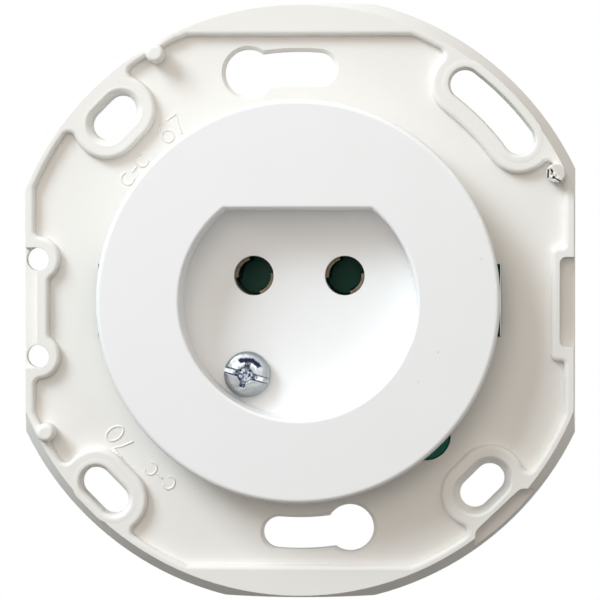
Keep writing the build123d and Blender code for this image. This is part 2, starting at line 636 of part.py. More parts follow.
def make_pieces():
    """Every piece of the outlet by name, in the drawing's frame."""
    pieces = {
        "mounting_plate": make_mounting_plate(),
        "cover_disc": make_cover_disc(),
        "cover_screw": make_cover_screw(),
        "cover_nut": make_cover_nut(),
        "contact_housing": make_contact_housing(),
        "rear_cover": make_rear_cover(),
    }
    for level, y in zip(("upper", "lower"), (REAR_SCREW_Y, -REAR_SCREW_Y)):
        pieces[f"{level}_rear_screw"] = make_rear_screw(y)
    for name, side in SIDES.items():
        pieces[f"{name}_contact"] = make_contact(side)
        pieces[f"{name}_contact_ring"] = make_contact_ring(side)
        for level, y in zip(("upper", "lower"), TERMINAL_YS):
            pieces[f"{name}_{level}_clamp"] = make_clamp(side, y)
            pieces[f"{name}_{level}_terminal_screw"] = make_terminal_screw(side, y)
    return pieces


os.makedirs("parts", exist_ok=True)
for node, piece in make_pieces().items():
    export_step(STAND_UP * piece, f"parts/{node}.step")
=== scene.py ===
"""Looks of the ungrounded lamp outlet, dressed around its solids.

Lengths are in metres unless they are said to be in mm.
"""

import json
import logging
import math
from dataclasses import dataclass
from enum import Enum

import bmesh
import bpy
from mathutils import Euler, Matrix, Vector, noise


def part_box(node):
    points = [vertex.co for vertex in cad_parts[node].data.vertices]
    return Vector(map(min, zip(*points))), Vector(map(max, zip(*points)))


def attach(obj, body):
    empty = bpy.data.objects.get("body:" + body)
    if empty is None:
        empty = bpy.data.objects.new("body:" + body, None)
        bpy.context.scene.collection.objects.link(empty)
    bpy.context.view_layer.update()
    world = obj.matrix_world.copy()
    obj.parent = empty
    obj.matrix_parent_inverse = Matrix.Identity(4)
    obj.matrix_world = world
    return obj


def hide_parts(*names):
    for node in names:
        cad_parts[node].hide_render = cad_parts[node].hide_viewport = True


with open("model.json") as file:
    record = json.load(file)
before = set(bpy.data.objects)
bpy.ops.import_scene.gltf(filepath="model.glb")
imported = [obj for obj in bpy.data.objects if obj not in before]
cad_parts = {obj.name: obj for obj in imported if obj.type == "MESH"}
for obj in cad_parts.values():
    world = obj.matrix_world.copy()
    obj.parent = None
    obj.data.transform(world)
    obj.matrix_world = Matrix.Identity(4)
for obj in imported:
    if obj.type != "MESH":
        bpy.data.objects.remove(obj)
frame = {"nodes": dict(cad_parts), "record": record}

MM = 0.001
BODY = "root"
NOISE_RANGE = (0.3, 0.7)  # Most of a noise's values lie between these.
LOG = logging.getLogger("lamp_outlet")

Colour = tuple[float, float, float]
Place = tuple[float, float, float]
Point = tuple[float, float]
Socket = bpy.types.NodeSocket


def linear(colour: Colour) -> tuple[float, float, float, float]:
    """Turn a display colour into the linear one that shaders take.

    Args:
        colour: Red, green and blue from 0 to 1, as seen on a screen.

    Returns:
        The linear colour with an alpha of 1.
    """
    steps = [c / 12.92 if c <= 0.04045 else ((c + 0.055) / 1.055) ** 2.4 for c in colour]
    return (*steps, 1.0)


class NodeSketch:
    """A node tree with short calls that add and link nodes."""

    def __init__(self, tree: bpy.types.NodeTree) -> None:
        """Hold the tree that nodes go into."""
        self.tree = tree

    def add(self, kind: str, **settings: object) -> bpy.types.Node:
        """Add a node.

        Args:
            kind: The node's type name.
            settings: Properties to set, or input values by input name.

        Returns:
            The new node.
        """
        node = self.tree.nodes.new(kind)
        for key, value in settings.items():
            if key in node.inputs:
                node.inputs[key].default_value = value
            else:
                setattr(node, key, value)
        return node

    def link(self, source: Socket, target: Socket) -> None:
        """Join an output to an input."""
        self.tree.links.new(source, target)

    def either(self, first: Socket, second: Socket) -> Socket:
        """The larger of two shader values."""
        node = self.add("ShaderNodeMath", operation="MAXIMUM")
        self.link(first, node.inputs[0])
        self.link(second, node.inputs[1])
        return node.outputs[0]

    def ramp(self, value: Socket, before: Point, after: Point, **settings: object) -> Socket:
        """Map a range of a shader value to another range, and hold it at the ends.

        Args:
            value: The value.
            before: The range that it comes from.
            after: The range that it goes to.
            settings: Properties of the node.

        Returns:
            The mapped value.
        """
        node = self.add("ShaderNodeMapRange", **settings)
        for name, number in zip(("From Min", "From Max", "To Min", "To Max"), (*before, *after)):
            node.inputs[name].default_value = number
        self.link(value, node.inputs["Value"])
        return node.outputs["Result"]


class ShapeTree(NodeSketch):
    """A Geometry Nodes tree with named inputs, whose result is taken as a plain mesh."""

    def __init__(self, name: str) -> None:
        """Start a tree that takes a geometry and a finish, and gives a geometry.

        Args:
            name: The tree's name.
        """
        super().__init__(bpy.data.node_groups.new(name, "GeometryNodeTree"))
        shape = "NodeSocketGeometry"
        self.tree.interface.new_socket("Geometry", in_out="OUTPUT", socket_type=shape)
        self.start = self.add("NodeGroupInput")
        self.seed = self.input("Geometry", shape)
        self.finish = self.input("Finish", "NodeSocketMaterial")

    def input(self, name: str, kind: str) -> Socket:
        """Add a named input.

        Args:
            name: The input's name.
            kind: Its socket type.

        Returns:
            The socket that gives its value inside the tree.
        """
        self.tree.interface.new_socket(name, in_out="INPUT", socket_type=kind)
        return self.start.outputs[name]

    def close(self, geometry: Socket) -> None:
        """End the tree with real meshes that carry the finish.

        Args:
            geometry: The tree's last geometry.
        """
        realize = self.add("GeometryNodeRealizeInstances")
        dress_up = self.add("GeometryNodeSetMaterial")
        end = self.add("NodeGroupOutput")
        self.link(geometry, realize.inputs["Geometry"])
        self.link(realize.outputs["Geometry"], dress_up.inputs["Geometry"])
        self.link(self.finish, dress_up.inputs["Material"])
        self.link(dress_up.outputs["Geometry"], end.inputs["Geometry"])

    def grow(self, name: str, seed: bpy.types.Mesh, values: dict[str, object]) -> bpy.types.Object:
        """Run the tree on a mesh.

        Args:
            name: The new piece's name.
            seed: The mesh that the tree starts from.
            values: The tree's inputs by name.

        Returns:
            A plain piece at the origin.
        """
        grower = place_piece(f"{name}_seed", seed)
        modifier = grower.modifiers.new("grow", "NODES")
        modifier.node_group = self.tree
        for item in self.tree.interface.items_tree:
            if item.in_out == "INPUT" and item.name in values:
                modifier[item.identifier] = values[item.name]
        evaluated = grower.evaluated_get(bpy.context.evaluated_depsgraph_get())
        mesh = bpy.data.meshes.new_from_object(evaluated)
        grower.modifiers.remove(modifier)
        bpy.data.objects.remove(grower)
        return place_piece(name, mesh)


def place_piece(name: str, mesh: bpy.types.Mesh) -> bpy.types.Object:
    """Put a mesh into the scene as an object at the origin.

    Args:
        name: The object's name.
        mesh: Its mesh.

    Returns:
        The object.
    """
    mesh.name = name
    piece = bpy.data.objects.new(name, mesh)
    bpy.context.scene.collection.objects.link(piece)
    return piece


class Recipe(NodeSketch):
    """A material's node tree."""

    def __init__(self, name: str) -> None:
        """Start a material that holds one Principled shader.

        Args:
            name: The material's name.
        """
        self.material = bpy.data.materials.new(name)
        self.material.use_nodes = True
        super().__init__(self.material.node_tree)
        self.shader = self.tree.nodes["Principled BSDF"]
        self.place = self.add("ShaderNodeTexCoord").outputs["Object"]

    def noise(self, size_mm: float, detail: float, roughness: float = 0.5) -> Socket:
        """Add a noise on the object's own coordinates.

        Args:
            size_mm: The size of its lumps.
            detail: How many finer octaves it has.
            roughness: How strong those octaves are.

        Returns:
            The noise's value, from 0 to 1.
        """
        node = self.add("ShaderNodeTexNoise", Detail=detail, Roughness=roughness)
        node.inputs["Scale"].default_value = 1 / (size_mm * MM)
        self.link(self.place, node.inputs["Vector"])
        return node.outputs["Fac"]

    def spread(self, value: Socket, low: float, high: float) -> Socket:
        """Spread the middle of a noise over a range.

        Args:
            value: The noise.
            low: The result at the noise's usual lowest.
            high: The result at its usual highest.

        Returns:
            The spread value.
        """
        return self.ramp(value, NOISE_RANGE, (low, high))

    def between(self, share: Socket, first: Colour, second: Colour) -> Socket:
        """Mix two colours.

        Args:
            share: How much of the second colour there is.
            first: The first display colour.
            second: The second display colour.

        Returns:
            The mixed colour.
        """
        node = self.add("ShaderNodeMix", data_type="RGBA")
        colours = [socket for socket in node.inputs if socket.type == "RGBA"]
        colours[0].default_value = linear(first)
        colours[1].default_value = linear(second)
        self.link(share, node.inputs["Factor"])
        return [socket for socket in node.outputs if socket.type == "RGBA"][0]

    def cover(self, colour: Socket, share: Socket, target: Colour) -> Socket:
        """Cover a colour with another.

        Args:
            colour: The colour underneath.
            share: How much of it is covered.
            target: The display colour on top.

        Returns:
            The covered colour.
        """
        mix = self.between(share, target, target)
        self.link(colour, [socket for socket in mix.node.inputs if socket.type == "RGBA"][0])
        return mix

    def specks(self, gap_mm: float, radius_mm: float) -> Socket:
        """Scatter small specks of dust, some stronger than others.

        Args:
            gap_mm: About how far apart they lie.
            radius_mm: The size of the largest.

        Returns:
            From 0 beside the specks to at most 1 in them.
        """
        cells = self.add("ShaderNodeTexVoronoi", Scale=1 / (gap_mm * MM))
        self.link(self.place, cells.inputs["Vector"])
        reach = radius_mm / gap_mm
        near = self.ramp(cells.outputs["Distance"], (reach, reach / 2), (0.0, 1.0))
        strength = self.add("ShaderNodeMath", operation="MULTIPLY")
        self.link(near, strength.inputs[0])
        self.link(cells.outputs["Color"], strength.inputs[1])
        return strength.outputs[0]

    def with_painted_light(self, colour: Socket, painted_half_shade: Colour, painted_shade: Colour, painted_highlight: Colour) -> Socket:
        """Paint shade and highlights over a colour by the mesh's painted-light attribute, from -1
        for painted shade to 1 for a painted highlight.

        Args:
            colour: The clean colour.
            painted_half_shade: The display colour of painted shade at a value of -0.5.
            painted_shade: The display colour of painted shade at a value of -1.
            painted_highlight: The display colour of a painted highlight at a value of 1.

        Returns:
            The colour with painted shade and highlights.
        """
        # The mesh attribute holds painted shade below 0 and painted highlights above 0.
        stain_and_painted_light = self.add("ShaderNodeAttribute", attribute_name="stain_and_painted_light").outputs["Fac"]
        for slope, start, target in ((-2.0, 0.0, painted_half_shade), (-2.0, -1.0, painted_shade), (1.0, 0.0, painted_highlight)):
            share = self.add("ShaderNodeMath", operation="MULTIPLY_ADD", use_clamp=True)
            self.link(stain_and_painted_light, share.inputs[0])
            share.inputs[1].default_value = slope
            share.inputs[2].default_value = start
            colour = self.cover(colour, share.outputs[0], target)
        return colour

    def bump(self, height: Socket, depth_mm: float, soft_edge_mm: float) -> None:
        """Give the surface a bump over softened edges.

        Args:
            height: The bump's height, from 0 to 1.
            depth_mm: How deep the whole range is.
            soft_edge_mm: The rounding that sharp edges seem to have.
        """
        node = self.add("ShaderNodeBump", Strength=1.0, Distance=depth_mm * MM)
        self.link(height, node.inputs["Height"])
        edge = self.add("ShaderNodeBevel", samples=6, Radius=soft_edge_mm * MM)
        self.link(edge.outputs["Normal"], node.inputs["Normal"])
        self.link(node.outputs["Normal"], self.shader.inputs["Normal"])


@dataclass(frozen=True)
class MouldedPlastic:
    """A moulded plastic: a clouded colour, specks of dust, painted shade where the mesh marks it,
    a fine grain and softened edges.
    """

    name: str
    colour: Colour
    cloud: Colour
    roughness: float
    sheen_spread: float = 0.06
    sheen_mm: float = 2.4
    cloud_mm: float = 9.0
    grain_mm: float = 0.16
    grain_depth_mm: float = 0.006
    soft_edge_mm: float = 0.14
    gloss: float = 0.4
    # Colours of painted shade, for the pits and cracks that a mesh marks.
    painted_half_shade: Colour = (0.66, 0.64, 0.61)
    painted_shade: Colour = (0.3, 0.28, 0.26)
    speck: Colour = (0.55, 0.53, 0.5)
    speck_gap_mm: float = 3.6
    speck_r_mm: float = 0.11

    def material(self) -> bpy.types.Material:
        """Build the material."""
        recipe = Recipe(self.name)
        clouds = recipe.spread(recipe.noise(self.cloud_mm, detail=3), 0, 1)
        clean = recipe.between(clouds, self.colour, self.cloud)
        specks = recipe.specks(self.speck_gap_mm, self.speck_r_mm)
        dusty = recipe.cover(clean, specks, self.speck)
        # Painted shade from the mesh's painted-light attribute; only the torn stub carries it, in
        # its pits and cracks.
        with_painted_light = recipe.with_painted_light(dusty, self.painted_half_shade, self.painted_shade, self.cloud)
        recipe.link(with_painted_light, recipe.shader.inputs["Base Color"])
        sheen = recipe.noise(self.sheen_mm, detail=4, roughness=0.6)
        low, high = self.roughness - self.sheen_spread, self.roughness + self.sheen_spread
        recipe.link(recipe.spread(sheen, low, high), recipe.shader.inputs["Roughness"])
        recipe.shader.inputs["Specular IOR Level"].default_value = self.gloss
        grain = recipe.noise(self.grain_mm, detail=2)
        recipe.bump(grain, self.grain_depth_mm, self.soft_edge_mm)
        return recipe.material


@dataclass(frozen=True)
class PlatedMetal:
    """A metal: a colour with random stains, painted shade and painted highlights, a rubbed sheen,
    fine scratches and softened edges.
    """

    name: str
    colour: Colour
    stain_and_painted_light: Colour
    roughness: float
    stain_mm: float = 1.1
    rub_mm: float = 0.5
    rub_spread: Point = (0.7, 1.4)
    scratch_mm: float = 0.12
    scratch_depth_mm: float = 0.004
    soft_edge_mm: float = 0.08
    # Colours of painted shade and painted highlights that a mesh marks, as on the screw heads.
    painted_half_shade: Colour = (0.46, 0.52, 0.64)
    painted_shade: Colour = (0.15, 0.165, 0.22)
    painted_highlight: Colour = (0.9, 0.925, 0.945)

    def material(self) -> bpy.types.Material:
        """Build the material."""
        recipe = Recipe(self.name)
        recipe.shader.inputs["Metallic"].default_value = 1.0
        stains_and_painted_light = recipe.spread(recipe.noise(self.stain_mm, detail=4, roughness=0.6), 0, 1)
        clean = recipe.between(stains_and_painted_light, self.colour, self.stain_and_painted_light)
        # Painted shade, painted reflections and painted highlights from the mesh's painted-light
        # attribute.
        with_painted_light = recipe.with_painted_light(clean, self.painted_half_shade, self.painted_shade, self.painted_highlight)
        recipe.link(with_painted_light, recipe.shader.inputs["Base Color"])
        rub = recipe.noise(self.rub_mm, detail=5, roughness=0.65)
        low, high = (self.roughness * share for share in self.rub_spread)
        recipe.link(recipe.spread(rub, low, high), recipe.shader.inputs["Roughness"])
        scratches = recipe.noise(self.scratch_mm, detail=3)
        recipe.bump(scratches, self.scratch_depth_mm, self.soft_edge_mm)
        return recipe.material


# Each finish has the name of its material slot in the record.
FINISHES = (
    MouldedPlastic(
        "plate_plastic",
        colour=(0.944, 0.935, 0.919),
        cloud=(0.936, 0.926, 0.906),
        roughness=0.42,
    ),
    MouldedPlastic(
        "disc_plastic",
        colour=(0.957, 0.957, 0.957),
        cloud=(0.952, 0.952, 0.951),
        roughness=0.36,
        grain_mm=0.1,
        grain_depth_mm=0.003,
    ),
    MouldedPlastic(
        "housing_plastic",
        colour=(0.0, 0.42, 0.34),
        cloud=(0.0, 0.375, 0.3),
        roughness=0.4,
        cloud_mm=4.0,
        gloss=0.2,
    ),
    PlatedMetal(
        "zinc_screw", colour=(0.69, 0.705, 0.71), stain_and_painted_light=(0.62, 0.64, 0.65), roughness=0.38
    ),
    PlatedMetal(
        "contact_bronze", colour=(0.52, 0.475, 0.41), stain_and_painted_light=(0.4, 0.36, 0.3), roughness=0.5
    ),
    PlatedMetal(
        "spring_steel", colour=(0.58, 0.58, 0.6), stain_and_painted_light=(0.45, 0.45, 0.47), roughness=0.3
    ),
    PlatedMetal("clamp_steel", colour=(0.72, 0.73, 0.74), stain_and_painted_light=(0.6, 0.6, 0.6), roughness=0.34),
)


def dress(node: str, material: bpy.types.Material) -> bpy.types.Object:
    """Give a solid its finish.

    Args:
        node: The solid's name.
        material: The finish.

    Returns:
        The solid's object.
    """
    solid = frame["nodes"][node]
    for slot in solid.material_slots:
        slot.link = "OBJECT"
        slot.material = material
    return solid


def clamp(value: float) -> float:
    """Keep a value between 0 and 1."""
    return min(1.0, max(0.0, value))


def ring_turns(segments: int) -> list[float]:
    """Evenly spaced turns round a circle, in radians."""
    return [math.tau * step / segments for step in range(segments)]


def skin(
    shape: bmesh.types.BMesh, loops: list[list[bmesh.types.BMVert]]
) -> list[bmesh.types.BMFace]:
    """Join closed loops of points, each to the next.

    Args:
        shape: The shape that the points are in.
        loops: The loops, all with as many points.

    Returns:
        The new faces, loop by loop.
    """
    faces = []
    for near, far in zip(loops, loops[1:]):
        for index in range(len(near)):
            after = (index + 1) % len(near)
            faces.append(shape.faces.new((near[index], far[index], far[after], near[after])))
    return faces


def fan(
    shape: bmesh.types.BMesh, tip: bmesh.types.BMVert, loop: list[bmesh.types.BMVert]
) -> None:
    """Close a loop of points with a fan of triangles.

    Args:
        shape: The shape that the points are in.
        tip: The point where the triangles meet.
        loop: The loop.
    """
    for index, corner in enumerate(loop):
        shape.faces.new((tip, corner, loop[(index + 1) % len(loop)]))


def finished_mesh(shape: bmesh.types.BMesh, name: str) -> bpy.types.Mesh:
    """Turn a shape into a mesh and let go of the shape.

    Args:
        shape: The shape.
        name: The mesh's name.

    Returns:
        The mesh.
    """
    mesh = bpy.data.meshes.new(name)
    shape.to_mesh(mesh)
    shape.free()
    return mesh


@dataclass(frozen=True)
class PaintedLightPatch:
    """A patch of painted light along an arc of a round face: a painted highlight when its value is
    above 0, painted shade below. Sizes in mm and degrees.
    """

    angle: float
    radius: float
    span: float
    width: float
    stain_and_painted_light: float
    soft: float = 0.16
    rag: float = 0.14
    rags_per_mm: float = 3.3

    def share(self, x: float, y: float) -> float:
        """How much of the patch covers a place.

        Args:
            x: The place to the right of the face's middle.
            y: The place above it.

        Returns:
            From 0 outside the patch to 1 inside it.
        """
        aside = abs((math.degrees(math.atan2(y, x)) - self.angle + 180) % 360 - 180)
        along = math.radians(self.span / 2 - aside) * self.radius
        across = self.width / 2 - abs(math.hypot(x, y) - self.radius)
        ragged = self.rag * noise.noise(Vector((x, y, self.angle)) * self.rags_per_mm)
        return clamp((min(along, across) + ragged) / self.soft + 0.5)


@dataclass
class PanScrew:
    """A pan-head screw along z with a slot, or a slot and a cross.

    Its head's seat is at z = 0. Sizes in mm, and its turn in degrees.
    """

    head_d: float
    head_h: float
    shank_d: float
    length: float
    cross_l: float = 0.0
    shoulder: float = 0.75
    shoulder_drop: float = 0.9
    shoulder_steps: int = 12
    dome: float = 0.08
    slot_w: float = 0.72
    slot_depth: float = 0.75
    cross_w: float = 0.62
    cross_depth: float = 1.35
    cross_end_share: float = 0.7
    pit_r: float = 0.95
    # The pit's lumps of painted shade and highlight.
    pit_lip: float = 0.06
    pit_soft: float = 0.08
    pit_lumps_per_mm: float = 4.2
    pit_contrast: float = 1.8
    pit_tone: float = -0.22
    pit_seed: float = 0.3
    bevel: float = 0.16
    bevel_depth: float = 0.1
    wall: float = 0.06
    # Painted shade along the slot's edges, and how wide it is.
    edge_w: float = 0.1
    painted_edge_shade: float = 0.75
    dents: float = 0.02
    dents_per_mm: float = 2.3
    pitch: float = 0.5
    thread_depth: float = 0.28
    thread_steps: int = 8
    tip_share: float = 0.7
    segments: int = 192
    rings: int = 44
    turn: float = 0.0
    drive_shift: Point = (0.0, 0.0)
    # Patches of painted highlight and painted shade on the head.
    painted_light_patches: tuple[PaintedLightPatch, ...] = ()

    def sunk(self, edge: float, depth: float) -> float:
        """How deep a cut is near its edge.

        Args:
            edge: How far inside the cut's edge the place is; negative outside.
            depth: The cut's full depth.

        Returns:
            The depth, with a worn bevel along the edge and a steep wall inside it.
        """
        worn = self.bevel_depth * clamp(edge / self.bevel + 1)
        return max(worn, depth * clamp(edge / self.wall + 0.5))

    def drive(self, along: float, across: float) -> float:
        """How deep the slot and the cross cut into the head at a place.

        Args:
            along: The place along the slot.
            across: The place across the slot.

        Returns:
            The depth below the head's top.
        """
        along, across = along - self.drive_shift[0], across - self.drive_shift[1]
        depth = self.sunk(self.slot_w / 2 - abs(across), self.slot_depth)
        if not self.cross_l:
            return depth
        for length, side in ((along, across), (across, along)):
            reach = self.cross_l / 2 - abs(length)
            shallow = self.slot_depth * self.cross_end_share
            slope = shallow + (self.cross_depth - shallow) * clamp(reach)
            depth = max(depth, self.sunk(min(reach, self.cross_w / 2 - abs(side)), slope))
        return max(depth, self.sunk(self.pit_r - math.hypot(along, across), self.cross_depth))

    def stain_and_painted_light(self, along: float, across: float) -> float:
        """How much painted shade or painted highlight the head has at a place, from -1 to 1.

        Args:
            along: The place along the slot.
            across: The place across the slot.

        Returns:
            The value: a painted reflection on the slot's floor, painted shade along its edges and
                a mix of painted shade and highlights in the pit.
        """
        turn = math.radians(self.turn)
        x = along * math.cos(turn) - across * math.sin(turn)
        y = along * math.sin(turn) + across * math.cos(turn)
        along, across = along - self.drive_shift[0], across - self.drive_shift[1]
        radius = math.hypot(along, across)
        edge = self.slot_w / 2 - abs(across)
        # Painted reflection on the slot's floor.
        value = clamp((edge - self.wall) / self.edge_w)
        # Painted shade along the slot's edges.
        value -= self.painted_edge_shade * clamp(1 - abs(edge) / self.edge_w)
        # In the cross's pit, lumps of painted shade and highlight.
        if self.cross_l:
            arm = max(
                min(self.cross_l / 2 - abs(length), self.cross_w / 2 - abs(side))
                for length, side in ((along, across), (across, along))
            )
            inside = clamp((max(arm, self.pit_r - radius) + self.pit_lip) / self.pit_soft)
            lumps = noise.noise(Vector((along, across, self.pit_seed)) * self.pit_lumps_per_mm)
            value += (lumps * self.pit_contrast + self.pit_tone - value) * inside
        # Patches of painted highlight and painted shade.
        for light_patch in self.painted_light_patches:
            value += (light_patch.stain_and_painted_light - value) * light_patch.share(x, y)
        return value

    def head_rings(self) -> list[Point]:
        """The head's outline from its middle to its rim, as radius and height."""
        flat = self.head_d / 2 - self.shoulder
        top = [flat * step / self.rings for step in range(1, self.rings + 1)]
        outline = [(r, self.head_h - self.dome * (r / flat) ** 2) for r in top]
        for step in range(1, self.shoulder_steps + 1):
            lean = math.radians(90 * step / self.shoulder_steps)
            fall = self.shoulder * self.shoulder_drop * (1 - math.cos(lean))
            radius = flat + self.shoulder * math.sin(lean)
            outline.append((radius, self.head_h - self.dome - fall))
        return outline

    def shank_rings(self) -> list[float]:
        """The shank's levels below the head's seat, down to the tip."""
        count = int(self.length / self.pitch * self.thread_steps)
        return [-self.length * step / count for step in range(1, count + 1)]

    def shank_radius(self, level: float, turn: float) -> float:
        """How thick the thread is at a place.

        Args:
            level: The place's height, which is negative below the seat.
            turn: Its turn round the axis.

        Returns:
            The radius, which narrows at the tip.
        """
        taper = clamp((level + self.length) / self.pitch) * (1 - self.tip_share) + self.tip_share
        wave = abs(2 * ((level / self.pitch - turn / math.tau) % 1) - 1)
        return (self.shank_d / 2 - self.thread_depth * wave) * taper

    def mesh(self) -> bpy.types.Mesh:
        """Build the screw's mesh, in metres."""
        shape = bmesh.new()
        turns = ring_turns(self.segments)
        loops, stains_and_painted_light = [], []

        def spot(radius: float, turn: float, level: float) -> bmesh.types.BMVert:
            """Add a point below the head's top."""
            return shape.verts.new(
                (radius * MM * math.cos(turn), radius * MM * math.sin(turn), level * MM)
            )

        for radius, height in self.head_rings():
            loop = []
            for turn in turns:
                x, y = radius * math.cos(turn), radius * math.sin(turn)
                # Painted shade and highlights for each point of the head.
                stains_and_painted_light.append(self.stain_and_painted_light(x, y))
                level = min(height, self.head_h - self.drive(x, y))
                level += self.dents * noise.noise(Vector((x, y, self.length)) * self.dents_per_mm)
                loop.append(shape.verts.new((x * MM, y * MM, level * MM)))
            loops.append(loop)
        for radius in (self.head_d / 2, self.shank_d / 2):
            loops.append([spot(radius, turn, 0) for turn in turns])
        for level in self.shank_rings():
            loops.append([spot(self.shank_radius(level, turn), turn, level) for turn in turns])
        skin(shape, loops)
        fan(shape, shape.verts.new((0, 0, (self.head_h - self.drive(0, 0)) * MM)), loops[0])
        fan(shape, shape.verts.new((0, 0, -self.length * MM)), loops[-1][::-1])
        for face in shape.faces:
            face.smooth = True
        mesh = finished_mesh(shape, "screw")
        stains_and_painted_light += [0.0] * (len(mesh.vertices) - len(stains_and_painted_light))
        mesh.attributes.new("stain_and_painted_light", "FLOAT", "POINT").data.foreach_set("value", stains_and_painted_light)
        return mesh


class Facing(Enum):
    """The way that a screw's head looks, as a turn from +z in degrees."""

    FRONT = (90, 0, 0)
    BACK = (-90, 0, 0)
    LEFT = (0, -90, 0)
    RIGHT = (0, 90, 0)

    def matrix(self) -> Matrix:
        """The turn as a matrix."""
        return Euler([math.radians(angle) for angle in self.value]).to_matrix()


@dataclass
class ScrewSet:
    """Screws of one size, each in the place of its solid."""

    name: str
    screw: PanScrew
    facings: dict[str, Facing]

    def seat(self, node: str, facing: Facing) -> Vector:
        """Where a screw's seat is.

        Args:
            node: The screw's solid.
            facing: The way its head looks.

        Returns:
            The middle of the seat under its head.
        """
        low, high = (Vector(corner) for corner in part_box(node))
        out = facing.matrix() @ Vector((0, 0, 1))
        reach = abs(out.dot(high - low)) / 2
        return (low + high) / 2 + out * (reach - self.screw.head_h * MM)

    def build(self, tree: ShapeTree, finish: bpy.types.Material, slot: str) -> bpy.types.Object:
        """Put a screw at each seat.

        Args:
            tree: The tree that sets screws on points.
            finish: The screws' finish.
            slot: Not used.

        Returns:
            The piece.
        """
        seats = bpy.data.meshes.new(f"{self.name}_seats")
        places = [self.seat(node, facing) for node, facing in self.facings.items()]
        seats.from_pydata(places, [], [])
        turns = seats.attributes.new("turn", "FLOAT_VECTOR", "POINT")
        own = Euler((0, 0, math.radians(self.screw.turn))).to_matrix()
        for index, facing in enumerate(self.facings.values()):
            turns.data[index].vector = (facing.matrix() @ own).to_euler()
        pattern = place_piece(f"{self.name}_pattern", self.screw.mesh())
        piece = tree.grow(self.name, seats, {"Screw": pattern, "Finish": finish})
        bpy.data.objects.remove(pattern)
        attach(piece, BODY)
        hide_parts(*self.facings)
        return piece


def screw_tree() -> ShapeTree:
    """Build the tree that sets a screw on each point, turned by the point's own turn."""
    tree = ShapeTree("screws_on_seats")
    screw = tree.input("Screw", "NodeSocketObject")
    pattern = tree.add("GeometryNodeObjectInfo")
    turn = tree.add("GeometryNodeInputNamedAttribute", data_type="FLOAT_VECTOR", Name="turn")
    rotation = tree.add("FunctionNodeEulerToRotation")
    rows = tree.add("GeometryNodeInstanceOnPoints")
    tree.link(screw, pattern.inputs["Object"])
    tree.link(tree.seed, rows.inputs["Points"])
    tree.link(pattern.outputs["Geometry"], rows.inputs["Instance"])
    tree.link(turn.outputs["Attribute"], rotation.inputs["Euler"])
    tree.link(rotation.outputs["Rotation"], rows.inputs["Rotation"])
    tree.close(rows.outputs["Instances"])
    return tree


def curve(
    middle: Point, reach: Point, start: float, stop: float, steps: int = 20
) -> list[Point]:
    """Points along a part of an ellipse.

    Args:
        middle: Its middle.
        reach: Its half width and half height.
        start: The first angle in degrees.
        stop: The last angle.
        steps: How many pieces the curve has.

    Returns:
        The points.
    """
    points = []
    for step in range(steps + 1):
        angle = math.radians(start + (stop - start) * step / steps)
        right, up = reach[0] * math.cos(angle), reach[1] * math.sin(angle)
        points.append((middle[0] + right, middle[1] + up))
    return points


# The strokes of each letter in mm, with its foot at a height of 0.
GLYPHS: dict[str, list[list[Point]]] = {
    "c": [curve((0, 0.83), (0.72, 0.83), 48, 312)],
    "-": [[(-0.45, 0.85), (0.45, 0.85)]],
    "0": [curve((0, 1.25), (0.75, 1.25), 0, 360, 32)],
    "6": [
        curve((0, 0.8), (0.72, 0.8), 0, 360, 28),
        [(-0.72, 0.8), (-0.69, 1.25), (-0.52, 1.75), (-0.2, 2.15), (0.4, 2.5)],
    ],
    "7": [[(-0.75, 2.5), (0.75, 2.5), (0.2, 1.3), (-0.15, 0)]],
}


@dataclass
class RoundMark:
    """A raised mark that runs clockwise along an arc of the tray floor, with its tops outwards.

    Its baseline's radius is in mm, and its letters stand at angles in degrees.
    """

    baseline: float
    letters: dict[float, str]

    def strokes(self, level: float) -> list[list[Vector]]:
        """The mark's strokes.

        Args:
            level: The y of their axes, in metres.

        Returns:
            Points along each stroke.
        """
        lines = []
        for angle, letter in self.letters.items():
            for stroke in GLYPHS[letter]:
                line = []
                for across, up in stroke:
                    turn = math.radians(angle) - across / self.baseline
                    radius = (self.baseline + up) * MM
                    line.append(Vector((radius * math.cos(turn), level, radius * math.sin(turn))))
                lines.append(line)
        return lines


